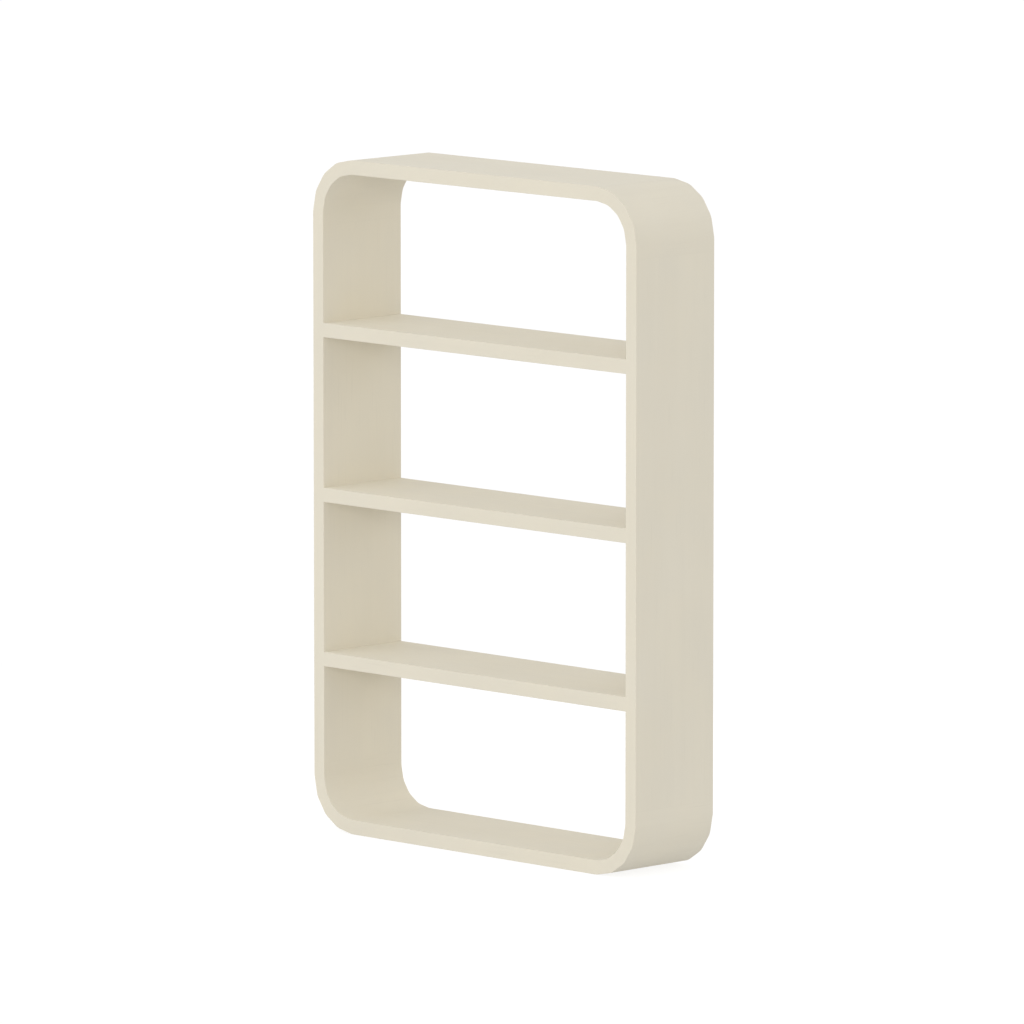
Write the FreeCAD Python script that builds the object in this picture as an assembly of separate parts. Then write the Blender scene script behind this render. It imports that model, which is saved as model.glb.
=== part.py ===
import FreeCAD, Part
import math, os

"""Miniature open bookcase, 1:12 scale: a rounded-rectangle carcass of four boards and four
corner blocks, with three fixed shelves and no back. Each corner block turns its quarter circle
in four flats, inside and out, with the edges between them sanded to a soft round.

Millimetres. +Z is up, +X is to the right of someone facing the front, and the front faces -Y.
The origin is the middle of the footprint, on the floor.

How it goes together:
  - each corner block is butted to its two boards and pegged with two dowels per joint;
  - each shelf has a stub tongue on both ends, glued into a blind groove in the side board;
  - the arrises are sanded after glue-up, so the rounding runs unbroken across every joint.
"""

V = FreeCAD.Vector

# ---- carcass ------------------------------------------------------------------------------
HEIGHT = 150.0  # overall, floor to top face
WIDTH = 100.0  # overall, left to right
DEPTH = 24.0  # overall, front to back; boards, corners and shelves are all this deep
STOCK = 3.2  # thickness of every board and shelf
CORNER_R = 12.0  # outside radius of the four corners, to the edges between their flats
FLATS = 4  # flats in each corner's quarter turn
EASE = 4.5  # rounding radius of the edges between flats
LAND = 3.0  # straight run at each end of a corner block, before its butt joint
ARRIS = 0.1  # rounding radius along every front and back edge

INNER_R = CORNER_R - STOCK
HALF_WIDTH = WIDTH / 2
HALF_DEPTH = DEPTH / 2
INSIDE_X = HALF_WIDTH - STOCK  # inside face of the side boards
ARM = CORNER_R + LAND  # a corner block's reach along each board
JOINT_X = HALF_WIDTH - ARM  # butt joints of the base and top boards
JOINT_TOP_Z = HEIGHT - ARM  # upper butt joints of the side boards

# ---- shelves, which divide the height into equal bays -------------------------------------
SHELF_NAMES = ("shelf_lower", "shelf_middle", "shelf_upper")
BAY = (HEIGHT - (len(SHELF_NAMES) + 2) * STOCK) / (len(SHELF_NAMES) + 1)
SHELF_TOPS = [STOCK + (i + 1) * (BAY + STOCK) for i in range(len(SHELF_NAMES))]

TONGUE_T = 1.6  # thickness of the stub tongue, centred on the shelf
TONGUE_OUT = 1.2  # how far the tongue stands out of the shelf's end
TONGUE_ROOT = 1.0  # overlap into the shelf, so that the two fuse cleanly
TONGUE_LEN = 18.4  # front-to-back length of the tongue
GROOVE_GAP = 0.05  # glue space past the tongue's end
GROOVE_DEEP = TONGUE_OUT + GROOVE_GAP
GROOVE_LEN = 20.0  # overall, with the round ends left by the cutter

# ---- dowels -------------------------------------------------------------------------------
DOWEL_D = 1.2
DOWEL_LEN = 8.0  # half in the corner block, half in the board
DOWEL_GAP = 0.25  # glue space past each end of a dowel
DOWEL_CHAMFER = 0.2
DOWEL_Y = 6.5  # the two dowels of a joint sit this far either side of the middle

# ---- modelling allowances -----------------------------------------------------------------
MARGIN = 1.0  # cutting boxes stand this far outside the case
TOLERANCE = 1e-6  # for finding edges that lie on the front and back faces


def box(x0, x1, y0, y1, z0, z1):
    return Part.makeBox(x1 - x0, y1 - y0, z1 - z0, V(x0, y0, z0))


def one(shape):
    """The single solid in a boolean's result."""
    solids = shape.removeSplitter().Solids
    assert len(solids) == 1, f"expected one solid, found {len(solids)}"
    assert solids[0].isValid(), "the solid isn't valid"
    return solids[0]


# ---- the whole case -----------------------------------------------------------------------
def rounded_prism(half_x, z0, z1, radius):
    """A rounded rectangle in the XZ plane, run the full depth.

    Each corner is a row of flats whose edges lie on an arc of the given radius, and every edge
    between two flats, or between a flat and a straight side, is eased to an arc of radius EASE."""
    corners = (  # arc centre x, z and start angle in degrees
        (half_x - radius, z0 + radius, -90),
        (half_x - radius, z1 - radius, 0),
        (-half_x + radius, z1 - radius, 90),
        (-half_x + radius, z0 + radius, 180),
    )
    points = []
    for x, z, start in corners:
        for i in range(FLATS + 1):
            angle = math.radians(start + 90 * i / FLATS)
            points.append(
                V(x + radius * math.cos(angle), -HALF_DEPTH, z + radius * math.sin(angle))
            )

    arcs = []  # start, middle and end point of each easing
    for i, here in enumerate(points):
        back = (points[i - 1] - here).normalize()
        ahead = (points[(i + 1) % len(points)] - here).normalize()
        half_turn = (math.pi - back.getAngle(ahead)) / 2
        reach = EASE * math.tan(half_turn)
        crown = here + (back + ahead).normalize() * (EASE / math.cos(half_turn) - EASE)
        arcs.append((here + back * reach, crown, here + ahead * reach))

    edges = []
    for i, arc in enumerate(arcs):
        next_arc = arcs[(i + 1) % len(arcs)]
        edges.append(Part.Arc(*arc).toShape())
        edges.append(Part.makeLine(arc[2], next_arc[0]))
    return Part.Face(Part.Wire(edges)).extrude(V(0, DEPTH, 0))


def on_rim(edge):
    """Whether an edge lies wholly in the front face or wholly in the back face."""
    middle = edge.valueAt((edge.FirstParameter + edge.LastParameter) / 2)
    ends = [vertex.Point for vertex in edge.Vertexes]
    in_faces = all(abs(abs(p.y) - HALF_DEPTH) < TOLERANCE for p in ends + [middle])
    return in_faces and ends[0].y * ends[-1].y > 0


def glued_up():
    """The whole case as it stands after glue-up, with its front and back arrises sanded round."""
    case = rounded_prism(HALF_WIDTH, 0, HEIGHT, CORNER_R).cut(
        rounded_prism(INSIDE_X, STOCK, HEIGHT - STOCK, INNER_R)
    )
    for top in SHELF_TOPS:
        case = case.fuse(box(-INSIDE_X, INSIDE_X, -HALF_DEPTH, HALF_DEPTH, top - STOCK, top))
    case = case.removeSplitter()
    return case.makeFillet(ARRIS, [edge for edge in case.Edges if on_rim(edge)])


# ---- pieces -------------------------------------------------------------------------------
def zone(case, x0, x1, z0, z1):
    """The part of the case inside an XZ rectangle, at full depth."""
    return case.common(box(x0, x1, -HALF_DEPTH - MARGIN, HALF_DEPTH + MARGIN, z0, z1))


def carcass_pieces(case):
    """Boards and corner blocks: the sanded case cut apart at its joint lines."""
    outer_x = HALF_WIDTH + MARGIN
    outer_z = HEIGHT + MARGIN
    zones = {  # x0, x1, z0, z1
        "side_left": (-outer_x, -INSIDE_X, ARM, JOINT_TOP_Z),
        "side_right": (INSIDE_X, outer_x, ARM, JOINT_TOP_Z),
        "base_board": (-JOINT_X, JOINT_X, -MARGIN, STOCK + MARGIN),
        "top_board": (-JOINT_X, JOINT_X, HEIGHT - STOCK - MARGIN, outer_z),
        "corner_bottom_left": (-outer_x, -JOINT_X, -MARGIN, ARM),
        "corner_bottom_right": (JOINT_X, outer_x, -MARGIN, ARM),
        "corner_top_left": (-outer_x, -JOINT_X, JOINT_TOP_Z, outer_z),
        "corner_top_right": (JOINT_X, outer_x, JOINT_TOP_Z, outer_z),
    }
    return {name: one(zone(case, *limits)) for name, limits in zones.items()}


def shelf(case, top):
    """One shelf, with a stub tongue at both ends."""
    body = zone(case, -INSIDE_X, INSIDE_X, top - STOCK, top)
    half_y = TONGUE_LEN / 2
    half_z = TONGUE_T / 2
    z = top - STOCK / 2
    for side in (-1, 1):
        x0, x1 = sorted((side * (INSIDE_X - TONGUE_ROOT), side * (INSIDE_X + TONGUE_OUT)))
        body = body.fuse(box(x0, x1, -half_y, half_y, z - half_z, z + half_z))
    return body


def groove(side, top):
    """The blind groove for one shelf's tongue. side is -1 for the left board, 1 for the right."""
    z = top - STOCK / 2
    radius = TONGUE_T / 2
    run = GROOVE_LEN / 2 - radius
    x0, x1 = sorted((side * INSIDE_X, side * (INSIDE_X + GROOVE_DEEP)))
    slot = box(x0, x1, -run, run, z - radius, z + radius)
    for y in (-run, run):
        slot = slot.fuse(Part.makeCylinder(radius, GROOVE_DEEP, V(x0, y, z), V(1, 0, 0)))
    return slot.removeSplitter()


def peg(centre, axis, length):
    """A plain cylinder of the dowel's diameter."""
    return Part.makeCylinder(DOWEL_D / 2, length, centre - axis * (length / 2), axis)


def dowel(centre, axis):
    """A dowel with both ends chamfered."""
    body = peg(centre, axis, DOWEL_LEN)
    ends = [edge for edge in body.Edges if edge.Curve.TypeId == "Part::GeomCircle"]
    return body.makeChamfer(DOWEL_CHAMFER, ends)


def joints():
    """Every butt joint: dowel pair's name, the two pieces joined, middle of the face, axis."""
    found = []
    mid = STOCK / 2
    for level, board, side_z, board_z in (
        ("bottom", "base_board", ARM, mid),
        ("top", "top_board", JOINT_TOP_Z, HEIGHT - mid),
    ):
        for hand, side in (("left", -1), ("right", 1)):
            corner = f"corner_{level}_{hand}"
            name = f"dowels_{level}_{hand}"
            side_at = V(side * (HALF_WIDTH - mid), 0, side_z)
            board_at = V(side * JOINT_X, 0, board_z)
            found.append((name + "_side", (corner, f"side_{hand}"), side_at, V(0, 0, 1)))
            found.append((name + "_board", (corner, board), board_at, V(1, 0, 0)))
    return found


def main():
    case = glued_up()
    pieces = carcass_pieces(case)

    for name, top in zip(SHELF_NAMES, SHELF_TOPS):
        pieces[name] = shelf(case, top)
        for hand, side in (("side_left", -1), ("side_right", 1)):
            pieces[hand] = pieces[hand].cut(groove(side, top))

    dowels = {}
    for name, members, middle, axis in joints():
        centres = [middle + V(0, y, 0) for y in (-DOWEL_Y, DOWEL_Y)]
        for centre in centres:
            hole = peg(centre, axis, DOWEL_LEN + 2 * DOWEL_GAP)
            for member in members:
                pieces[member] = pieces[member].cut(hole)
        dowels[name] = Part.makeCompound([dowel(centre, axis) for centre in centres])

    finished = {name: one(shape) for name, shape in pieces.items()}
    os.makedirs("parts", exist_ok=True)
    for name, shape in {**finished, **dowels}.items():
        shape.exportStep(os.path.join("parts", name + ".step"))


main()
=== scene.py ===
import functools
import math

import bpy
from mathutils import Matrix, Vector


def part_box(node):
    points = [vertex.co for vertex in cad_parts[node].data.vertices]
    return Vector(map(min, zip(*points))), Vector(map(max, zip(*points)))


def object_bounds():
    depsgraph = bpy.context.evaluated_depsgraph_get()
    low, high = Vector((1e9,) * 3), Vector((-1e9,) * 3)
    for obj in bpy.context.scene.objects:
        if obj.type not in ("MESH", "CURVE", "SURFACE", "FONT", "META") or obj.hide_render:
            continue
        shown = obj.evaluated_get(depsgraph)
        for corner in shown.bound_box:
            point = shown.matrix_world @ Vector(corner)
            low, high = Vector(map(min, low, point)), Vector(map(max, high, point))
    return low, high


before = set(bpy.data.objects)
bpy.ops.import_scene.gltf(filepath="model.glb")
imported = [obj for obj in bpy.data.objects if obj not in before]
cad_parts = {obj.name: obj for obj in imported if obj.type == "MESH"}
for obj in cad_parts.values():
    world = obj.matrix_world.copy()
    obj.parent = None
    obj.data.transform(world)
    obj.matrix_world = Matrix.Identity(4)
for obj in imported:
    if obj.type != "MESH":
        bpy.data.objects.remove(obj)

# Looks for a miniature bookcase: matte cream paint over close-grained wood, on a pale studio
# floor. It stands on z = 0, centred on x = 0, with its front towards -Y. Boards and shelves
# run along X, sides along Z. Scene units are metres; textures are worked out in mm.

MM = 1000.0  # mm in a metre

CAD_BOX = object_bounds()  # the CAD model's own box, before anything is added
HEIGHT = CAD_BOX[1].z - CAD_BOX[0].z
CENTRE = Vector((0.0, 0.0, HEIGHT / 2))
MIDDLE_Z = HEIGHT * 500  # mm, half the height

# Colours, linear
CREAM = (0.793, 0.745, 0.6275)
BEECH = (0.52, 0.33, 0.17, 1)
BEECH_PALE_BAND = (0.60, 0.41, 0.24, 1)
BEECH_FIBRE = (0.40, 0.23, 0.11, 1)
BEECH_FLECK = (0.27, 0.13, 0.06, 1)
WHITE = (1, 1, 1, 1)

PAINT_ROUGHNESS = 0.60
LAND = 3.0  # mm, the straight run at each end of a corner block
EVENING = 0.85  # how far the paint evens out the light over the flats of a corner
SEAM_WIDTH = 0.11  # mm, from a joint line to where its mark fades out


# ---------------------------------------------------------------------------------------------
# Node builder
# ---------------------------------------------------------------------------------------------
class Nodes:
    """Builds shader nodes. Values may be numbers, tuples or output sockets."""

    def __init__(self, owner):
        owner.use_nodes = True
        self.tree = owner.node_tree
        self.tree.nodes.clear()

    def node(self, kind, inputs=None, **settings):
        made = self.tree.nodes.new(kind)
        for key, value in settings.items():
            setattr(made, key, value)
        for key, value in (inputs or {}).items():
            if isinstance(value, bpy.types.NodeSocket):
                self.tree.links.new(value, made.inputs[key])
            else:
                made.inputs[key].default_value = value
        return made

    def math(self, operation, *values, clamp=False):
        inputs = dict(enumerate(values))
        return self.node("ShaderNodeMath", inputs, operation=operation, use_clamp=clamp).outputs[0]

    def chain(self, operation, values):
        """Joins any number of values, from left to right."""
        return functools.reduce(functools.partial(self.math, operation), values)

    def add(self, *values):
        return self.chain("ADD", values)

    def multiply(self, *values):
        return self.chain("MULTIPLY", values)

    def subtract(self, value, less):
        return self.math("SUBTRACT", value, less)

    def vector(self, operation, *values, output="Vector"):
        inputs = dict(enumerate(values))
        return self.node("ShaderNodeVectorMath", inputs, operation=operation).outputs[output]

    def split(self, vector):
        return self.node("ShaderNodeSeparateXYZ", {0: vector}).outputs

    def join(self, x, y, z):
        return self.node("ShaderNodeCombineXYZ", {0: x, 1: y, 2: z}).outputs[0]

    def ramp(self, value, span=(0.3, 0.7), to=(0.0, 1.0), smooth=False):
        """Maps span onto to, clamped. The default span covers most of a noise's spread."""
        made = self.node(
            "ShaderNodeMapRange",
            dict(enumerate((value, *span, *to))),
            interpolation_type="SMOOTHSTEP" if smooth else "LINEAR",
        )
        return made.outputs[0]

    def noise(self, place, size=1.0, detail=2.0, rough=0.5, distortion=0.0):
        inputs = {
            "Vector": place,
            "Scale": 1 / size,
            "Detail": detail,
            "Roughness": rough,
            "Distortion": distortion,
        }
        return self.node("ShaderNodeTexNoise", inputs).outputs["Fac"]

    def grain_noise(self, place, grain, across, along, **settings):
        """Noise `across` mm wide, and `along` mm long on the grain axis."""
        scale = [1 / across] * 3
        scale["xyz".index(grain)] = 1 / along
        return self.noise(self.vector("MULTIPLY", place, tuple(scale)), **settings)

    def mix(self, factor, first, second, blend="MIX"):
        inputs = {"Factor": factor, 6: first, 7: second}  # 6 and 7 are the colour sockets
        return self.node("ShaderNodeMix", inputs, data_type="RGBA", blend_type=blend).outputs[2]

    def object_space(self):
        """Place in mm and normal, both in object space."""
        coord = self.node("ShaderNodeTexCoord").outputs
        inputs = {0: coord["Object"], "Scale": MM}
        place = self.node("ShaderNodeVectorMath", inputs, operation="SCALE").outputs[0]
        return place, coord["Normal"]

    def bump(self, relief, **normal):
        """Surface relief, given in mm."""
        inputs = {"Strength": 1.0, "Distance": 1 / MM, "Height": relief, **normal}
        return self.node("ShaderNodeBump", inputs).outputs[0]

    def surface(self, shader, output="ShaderNodeOutputMaterial"):
        self.node(output, {"Surface": shader.outputs[0]})


# ---------------------------------------------------------------------------------------------
# Paint
# ---------------------------------------------------------------------------------------------
def evened(nodes, own, place, bend):
    """A world normal for a corner block, evened out across its flats.

    Paint gathers in the shallow creases between flats and thins on their edges, so light
    changes more evenly over them than over bare wood. bend is the middle of the corner's arc,
    (x, z) in mm. The result leans towards the arc's normal by EVENING, and keeps its lean to
    the front or back, so sanded arrises stay as they are."""
    at = nodes.split(place)
    lean = nodes.split(own)["Y"]
    reach = []
    for axis, middle, outward in ((0, bend[0], bend[0]), (2, bend[1], bend[1] - MIDDLE_Z)):
        sign = math.copysign(1.0, outward)
        past = nodes.multiply(nodes.subtract(at[axis], middle), sign)
        reach.append(nodes.multiply(nodes.math("MAXIMUM", past, 0.0), sign))
    out = nodes.vector("NORMALIZE", nodes.join(reach[0], 0.0, reach[1]))
    along = nodes.vector("DOT_PRODUCT", own, out, output="Value")

    # +1 where the face looks outwards, -1 on the inside of the bend
    facing = nodes.subtract(nodes.multiply(nodes.math("GREATER_THAN", along, 0.0), 2.0), 1.0)
    # length of the normal's part in the XZ plane, kept above zero
    flat_squared = nodes.subtract(1.0, nodes.multiply(lean, lean))
    across = nodes.math("SQRT", nodes.math("MAXIMUM", flat_squared, 1e-6))
    outward = nodes.split(out)
    size = nodes.multiply(facing, across)
    even = nodes.join(
        nodes.multiply(outward["X"], size), lean, nodes.multiply(outward["Z"], size)
    )

    # only where the face follows the bend: not on joint faces or in dowel holes
    follows = nodes.math("DIVIDE", nodes.math("ABSOLUTE", along), across)
    weight = nodes.ramp(follows, span=(0.90, 0.96), to=(0.0, EVENING), smooth=True)
    inputs = {"Factor": weight, 4: own, 5: even}  # 4 and 5 are the vector sockets
    blend = nodes.node("ShaderNodeMix", inputs, data_type="VECTOR").outputs[1]
    return nodes.node(
        "ShaderNodeVectorTransform",
        {0: nodes.vector("NORMALIZE", blend)},
        vector_type="NORMAL",
        convert_from="OBJECT",
        convert_to="WORLD",
    ).outputs[0]


def sanded_wear(nodes, normal, cloud):
    """Patchy wear on sanded arrises, whose normal is neither square to the front nor in it."""
    lean = nodes.split(normal)["Y"]
    squared = nodes.multiply(lean, lean)
    slant = nodes.multiply(squared, nodes.subtract(1.0, squared))
    arris = nodes.math("MULTIPLY", slant, 4.0, clamp=True)
    patches = nodes.ramp(cloud, span=(0.42, 0.66), to=(0.15, 1.0), smooth=True)
    return nodes.multiply(arris, patches)


def seam_lines(nodes, place, seams):
    """1 on the joint planes, fading to 0 beside them."""
    at = nodes.split(place)
    lines = []
    for axis, middle, half in seams:
        away = nodes.math("ABSOLUTE", nodes.subtract(at[axis], middle))
        away = nodes.math("ABSOLUTE", nodes.subtract(away, half))
        lines.append(nodes.ramp(away, span=(0.0, SEAM_WIDTH), to=(1.0, 0.0), smooth=True))
    return nodes.chain("MAXIMUM", lines)


def cream(red=1.0, green=1.0, blue=1.0):
    """The paint colour with its channels scaled."""
    return (CREAM[0] * red, CREAM[1] * green, CREAM[2] * blue, 1)


def paint(name, grain, seams, offset, bend=None):
    """Sprayed matte paint over close-grained wood.

    The film is continuous, so its texture uses one set of coordinates for the whole object.
    The wood under it only telegraphs through, along the grain axis of each member, shifted by
    offset (mm). seams lists pairs of joint planes: (axis, middle, half distance) in mm.
    bend is the middle of a corner block's arc, (x, z) in mm."""
    material = bpy.data.materials.new(name)
    nodes = Nodes(material)
    place, normal = nodes.object_space()

    # the wood below: fine fibre lines and wider growth bands
    wood = nodes.vector("ADD", place, offset)
    fibre = nodes.grain_noise(wood, grain, across=0.42, along=13.0, rough=0.55)
    band = nodes.grain_noise(wood, grain, across=3.6, along=70.0, detail=1.0, distortion=0.5)
    pores = nodes.ramp(fibre, span=(0.60, 0.74), smooth=True)

    # the paint film: wide and smaller blotches, orange peel and fine tooth
    blotch = nodes.noise(place, size=26.0)
    cloud = nodes.noise(nodes.vector("ADD", place, (91.0, 17.0, 53.0)), size=11.0)
    peel = nodes.noise(place, size=0.85, detail=1.0, rough=0.4)
    tooth = nodes.noise(place, size=0.13, detail=1.0)
    worn = sanded_wear(nodes, normal, cloud)
    line = seam_lines(nodes, place, seams)

    # colour: slight changes of lightness over a faintly varied cream, warmer where worn
    tone = nodes.multiply(
        nodes.ramp(blotch, to=(0.988, 1.010)),
        nodes.ramp(cloud, to=(0.994, 1.006)),
        nodes.ramp(band, to=(1.007, 0.993)),
        nodes.ramp(pores, span=(0.0, 1.0), to=(1.003, 0.982)),
        nodes.ramp(line, span=(0.0, 1.0), to=(1.0, 0.985)),
    )
    base = nodes.mix(nodes.ramp(cloud), cream(), cream(green=0.996, blue=0.985))
    worn_cream = cream(red=1.02, green=0.98, blue=0.90)
    base = nodes.mix(nodes.multiply(worn, 0.10), base, worn_cream)
    colour = nodes.mix(1.0, base, nodes.join(tone, tone, tone), blend="MULTIPLY")

    # finish: smoother on worn arrises, duller in pores
    rough = nodes.add(
        nodes.ramp(peel, to=(-0.025, 0.025)),
        PAINT_ROUGHNESS,
        nodes.ramp(blotch, to=(0.03, -0.03)),
        nodes.ramp(tooth, to=(-0.03, 0.03)),
    )
    rough = nodes.subtract(rough, nodes.multiply(worn, 0.09))
    rough = nodes.math("ADD", rough, nodes.multiply(pores, 0.04), clamp=True)

    # relief: heights raised, then depths sunk, in mm
    heights = ((peel, 0.0045), (tooth, 0.0006), (fibre, 0.0035), (band, 0.0060))
    depths = ((pores, 0.0030), (line, 0.0050))
    relief = nodes.add(*(nodes.multiply(pattern, height) for pattern, height in heights))
    for pattern, depth in depths:
        relief = nodes.subtract(relief, nodes.multiply(pattern, depth))
    under = {"Normal": evened(nodes, normal, place, bend)} if bend else {}

    inputs = {
        "Base Color": colour,
        "Roughness": rough,
        "IOR": 1.47,
        "Normal": nodes.bump(relief, **under),
        "Diffuse Roughness": 0.35,
        "Specular IOR Level": 0.42,
    }
    nodes.surface(nodes.node("ShaderNodeBsdfPrincipled", inputs))
    return material


# ---------------------------------------------------------------------------------------------
# Beech
# ---------------------------------------------------------------------------------------------
def beech(name, grain):
    """Bare beech peg stock: pinkish straw colour, short dark flecks, straight grain."""
    material = bpy.data.materials.new(name)
    nodes = Nodes(material)
    place, _ = nodes.object_space()
    fibre = nodes.grain_noise(place, grain, across=0.10, along=4.0, detail=3.0, rough=0.6)
    fleck = nodes.grain_noise(place, grain, across=0.07, along=0.7, detail=1.0)
    fleck = nodes.ramp(fleck, span=(0.62, 0.72), smooth=True)
    band = nodes.grain_noise(place, grain, across=0.8, along=20.0)

    colour = nodes.mix(nodes.ramp(band), BEECH, BEECH_PALE_BAND)
    fibre_tint = nodes.ramp(fibre, span=(0.35, 0.75), to=(0.0, 0.35))
    colour = nodes.mix(fibre_tint, colour, BEECH_FIBRE)
    colour = nodes.mix(nodes.multiply(fleck, 0.6), colour, BEECH_FLECK)

    # fibres stand up and flecks sink, in mm
    relief = nodes.subtract(nodes.multiply(fibre, 0.006), nodes.multiply(fleck, 0.008))
    inputs = {
        "Base Color": colour,
        "Roughness": nodes.ramp(fibre, to=(0.58, 0.74)),
        "IOR": 1.5,
        "Normal": nodes.bump(relief),
    }
    nodes.surface(nodes.node("ShaderNodeBsdfPrincipled", inputs))
    return material


# ---------------------------------------------------------------------------------------------
# Dressing the members
# ---------------------------------------------------------------------------------------------
def dress(name, material):
    """Puts one material on a CAD node."""
    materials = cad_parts[name].data.materials
    materials.clear()
    materials.append(material)


def corner_bend(name):
    """The middle of a corner block's arc, (x, z) in mm: one land in from its inner faces."""
    low, high = (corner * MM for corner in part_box(name))
    return (
        low.x + LAND if high.x > 0 else high.x - LAND,
        low.z + LAND if high.z > MIDDLE_Z else high.z - LAND,
    )


# pairs of planes where members meet: (axis, middle, half distance), in mm
corner_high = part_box("corner_bottom_left")[1]
SEAM_X = (0, 0.0, abs(corner_high.x) * MM)
SEAM_Z = (2, MIDDLE_Z, (HEIGHT / 2 - corner_high.z) * MM)
SEAM_SHELF = (0, 0.0, abs(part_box("side_left")[1].x) * MM)

# member name start, name ends, grain axis, seams, grain offset of the first and step (mm)
MEMBERS = (
    ("shelf_", ("lower", "middle", "upper"), "x", [SEAM_SHELF], (11, 5, 0), (37, 0, 0)),
    ("side_", ("left", "right"), "z", [SEAM_Z], (3, 0, 0), (0, 29, 61)),
    ("", ("base_board", "top_board"), "x", [SEAM_X], (0, 8, 0), (53, 0, 19)),
    (
        "corner_", ("bottom_left", "bottom_right", "top_left", "top_right"),
        "y", [SEAM_X, SEAM_Z], (0, 0, 2), (7, 41, 0),
    ),
)
for start, ends, grain, seams, first, step in MEMBERS:
    for i, end in enumerate(ends):
        name = start + end
        offset = tuple(Vector(first) + i * Vector(step))
        bend = corner_bend(name) if start == "corner_" else None
        dress(name, paint("paint_" + name, grain, seams, offset, bend))

for grain, part in (("x", "_board"), ("z", "_side")):
    peg_wood = beech("beech_" + grain, grain)
    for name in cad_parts:
        if name.startswith("dowels_") and name.endswith(part):
            dress(name, peg_wood)


# ---------------------------------------------------------------------------------------------
# Floor, world and lights
# ---------------------------------------------------------------------------------------------
FLOOR_REACH = 60.0  # m, from the middle to each edge
FLOOR_DROP = 0.00005  # m, below the object's underside
FLOOR_GREY = (0.30, 0.30, 0.30, 1)
FLOOR_GLOW = 0.406  # light the floor gives by itself
FLOOR_LIFT = 0.40  # extra glow that only the camera sees
FLOOR_FADE = (0.15, 0.30)  # m from the middle, where the camera's view turns to plain white
BACKDROP = 1.02  # strength of the plain white seen by the camera
SKY = 0.687  # strength of the surroundings as a light
LIGHT_DISTANCE = 6.0  # m, from the object's centre

# name, azimuth and elevation (degrees), size (m), power (W)
SOFTBOXES = (
    ("soft_front", 0, 30, 3.0, 32.1),
    ("soft_front_left", -45, 18, 3.6, 68.5),
    ("soft_front_right", 45, 9, 1.8, 56.3),
    ("soft_back_right", 135, 30, 3.0, 26.3),
    ("soft_back", 180, 20, 3.6, 56.7),
)


def floor():
    """A plain pale floor, running past every view. Like a light table, it glows a little."""
    reach = FLOOR_REACH
    corners = [(-reach, -reach, 0), (reach, -reach, 0), (reach, reach, 0), (-reach, reach, 0)]
    mesh = bpy.data.meshes.new("floor")
    mesh.from_pydata(corners, [], [(0, 1, 2, 3)])
    made = bpy.data.objects.new("floor", mesh)
    made.location.z = -FLOOR_DROP
    bpy.context.scene.collection.objects.link(made)

    material = bpy.data.materials.new("floor")
    nodes = Nodes(material)
    diffuse = nodes.node("ShaderNodeBsdfDiffuse", {"Color": FLOOR_GREY})
    seen = nodes.node("ShaderNodeLightPath").outputs["Is Camera Ray"]
    place = nodes.node("ShaderNodeTexCoord").outputs["Object"]
    lift = nodes.add(nodes.multiply(seen, FLOOR_LIFT), FLOOR_GLOW)
    glow = nodes.node("ShaderNodeEmission", {"Color": WHITE, "Strength": lift})
    near = nodes.node("ShaderNodeAddShader", {0: diffuse.outputs[0], 1: glow.outputs[0]})
    away = nodes.vector("LENGTH", place, output="Value")
    far = nodes.multiply(seen, nodes.ramp(away, span=FLOOR_FADE, smooth=True))
    white = nodes.node("ShaderNodeEmission", {"Color": WHITE, "Strength": BACKDROP})
    inputs = {0: far, 1: near.outputs[0], 2: white.outputs[0]}
    nodes.surface(nodes.node("ShaderNodeMixShader", inputs))
    mesh.materials.append(material)


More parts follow.
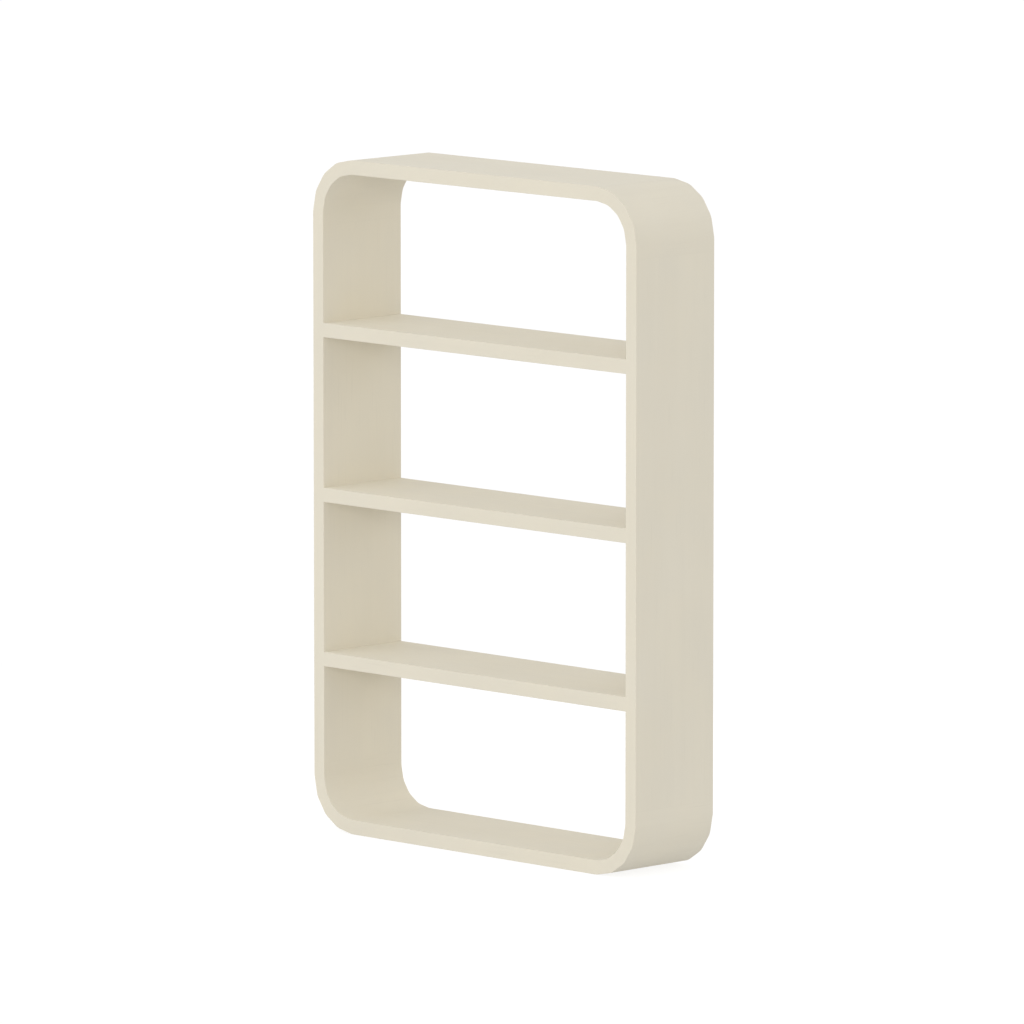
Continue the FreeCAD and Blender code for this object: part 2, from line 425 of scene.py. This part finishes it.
def sky():
    """Even white surroundings; the camera sees them as plain white."""
    world = bpy.data.worlds.new("studio")
    bpy.context.scene.world = world
    nodes = Nodes(world)
    seen = nodes.node("ShaderNodeLightPath").outputs["Is Camera Ray"]
    level = nodes.math("MAXIMUM", nodes.multiply(seen, BACKDROP), SKY)
    back = nodes.node("ShaderNodeBackground", {"Color": WHITE, "Strength": level})
    nodes.surface(back, output="ShaderNodeOutputWorld")


def direction(azimuth, elevation):
    """Unit vector from the object, angles in radians. Azimuth 0 is the front, 90° is +X."""
    level = math.cos(elevation)
    return Vector((math.sin(azimuth) * level, -math.cos(azimuth) * level, math.sin(elevation)))


def softbox(name, azimuth, elevation, size, power):
    """A square area light aimed at the object."""
    out = direction(math.radians(azimuth), math.radians(elevation))
    data = bpy.data.lights.new(name, "AREA")
    data.shape = "SQUARE"
    data.size = size
    data.energy = power
    made = bpy.data.objects.new(name, data)
    made.location = CENTRE + out * LIGHT_DISTANCE
    made.rotation_mode = "QUATERNION"
    made.rotation_quaternion = out.to_track_quat("Z", "Y")
    made.visible_camera = False
    bpy.context.scene.collection.objects.link(made)


floor()
sky()
for entry in SOFTBOXES:
    softbox(*entry)


# ---------------------------------------------------------------------------------------------
# Camera
# ---------------------------------------------------------------------------------------------
CAMERA_AZIMUTH, CAMERA_ELEVATION = math.radians(45.075), math.radians(7.729)
CAMERA_LENS = 400.13754  # mm
# the camera's place from the object's centre, in object heights along its own axes
CAMERA_BACK, CAMERA_RIGHT, CAMERA_DOWN = 16.61438, 0.00065, 0.00304


def camera():
    """A long lens from the front right, a little above the middle of the object."""
    back = direction(CAMERA_AZIMUTH, CAMERA_ELEVATION)
    right = Vector((math.cos(CAMERA_AZIMUTH), math.sin(CAMERA_AZIMUTH), 0.0))
    up = back.cross(right)
    offset = back * CAMERA_BACK + right * CAMERA_RIGHT - up * CAMERA_DOWN
    turn = Matrix((right, up, back)).transposed().to_4x4()
    data = bpy.data.cameras.new("camera")
    data.sensor_width = 36.0
    data.lens = CAMERA_LENS
    data.clip_start, data.clip_end = 0.05, 200.0
    made = bpy.data.objects.new("camera", data)
    made.matrix_world = Matrix.Translation(CENTRE + HEIGHT * offset) @ turn
    bpy.context.scene.collection.objects.link(made)
    bpy.context.scene.camera = made


camera()

view = bpy.context.scene.view_settings
view.view_transform = "Standard"
view.look = "None"
view.exposure = 0.0
view.gamma = 1.0
